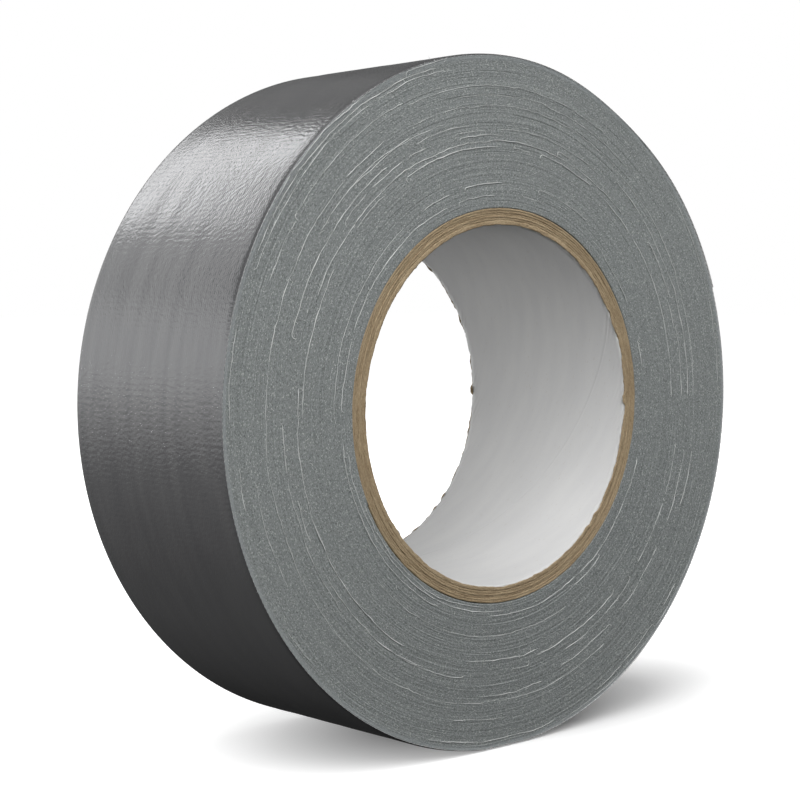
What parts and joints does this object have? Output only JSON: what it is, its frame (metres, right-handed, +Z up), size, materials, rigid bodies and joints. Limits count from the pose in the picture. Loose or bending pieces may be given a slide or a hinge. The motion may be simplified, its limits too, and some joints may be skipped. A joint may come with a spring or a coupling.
{
  "type": "duct tape roll",
  "caption": "Wide silver cloth-backed duct tape wound on a paper core tube, standing on its rim, with a free end that peels off the roll.",
  "frame": {"origin": "centre of the core's bore, midway between the two side faces", "axes": "+Y along the roll's axis towards the back side face, +Z up as the roll stands on its rim, +X to the right seen from the front side face"},
  "size_m": [0.1464, 0.05, 0.1463],
  "materials": {
    "white_liner": "matte",
    "kraft_board": "matte",
    "wound_edges": "satin",
    "silver_film": "gloss",
    "grey_adhesive": "satin",
    "scrim_cloth": "matte"
  },
  "bodies": {
    "roll": {"core_liner": "white_liner", "core_kraft_ply_1": "kraft_board", "core_kraft_ply_2": "kraft_board", "core_kraft_ply_3": "kraft_board", "core_kraft_ply_4": "kraft_board", "core_kraft_ply_5": "kraft_board", "core_kraft_ply_6": "kraft_board", "tape_winding": "wound_edges", "outer_turn_adhesive": "grey_adhesive", "outer_turn_cloth": "scrim_cloth", "outer_turn_film": "silver_film"},
    "free_end_1": {"free_end_1_adhesive": "grey_adhesive", "free_end_1_cloth": "scrim_cloth", "free_end_1_film": "silver_film"},
    "free_end_2": {"free_end_2_adhesive": "grey_adhesive", "free_end_2_cloth": "scrim_cloth", "free_end_2_film": "silver_film"},
    "free_end_3": {"free_end_3_adhesive": "grey_adhesive", "free_end_3_cloth": "scrim_cloth", "free_end_3_film": "silver_film"},
    "free_end_4": {"free_end_4_adhesive": "grey_adhesive", "free_end_4_cloth": "scrim_cloth", "free_end_4_film": "silver_film"},
    "free_end_5": {"free_end_5_adhesive": "grey_adhesive", "free_end_5_cloth": "scrim_cloth", "free_end_5_film": "silver_film"}
  },
  "joints": [
    {"name": "free_end_peel", "type": "hinge", "parent": "roll", "child": "free_end_1", "pos_m": [0.04612, 0, 0.05728], "axis": [0, -1, 0], "range_deg": [0, 24]},
    {"name": "free_end_curl_2", "type": "hinge", "parent": "free_end_1", "child": "free_end_2", "pos_m": [0.05207, 0, 0.05194], "axis": [0, -1, 0], "range_deg": [0, 24]},
    {"name": "free_end_curl_3", "type": "hinge", "parent": "free_end_2", "child": "free_end_3", "pos_m": [0.0574, 0, 0.04598], "axis": [0, -1, 0], "range_deg": [0, 24]},
    {"name": "free_end_curl_4", "type": "hinge", "parent": "free_end_3", "child": "free_end_4", "pos_m": [0.06206, 0, 0.03948], "axis": [0, -1, 0], "range_deg": [0, 24]},
    {"name": "free_end_curl_5", "type": "hinge", "parent": "free_end_4", "child": "free_end_5", "pos_m": [0.06598, 0, 0.03251], "axis": [0, -1, 0], "range_deg": [0, 24]}
  ],
  "couplings": [
    {"joint": "free_end_curl_2", "follows": "free_end_peel", "ratio": 1},
    {"joint": "free_end_curl_3", "follows": "free_end_peel", "ratio": 1},
    {"joint": "free_end_curl_4", "follows": "free_end_peel", "ratio": 1},
    {"joint": "free_end_curl_5", "follows": "free_end_peel", "ratio": 1}
  ]
}
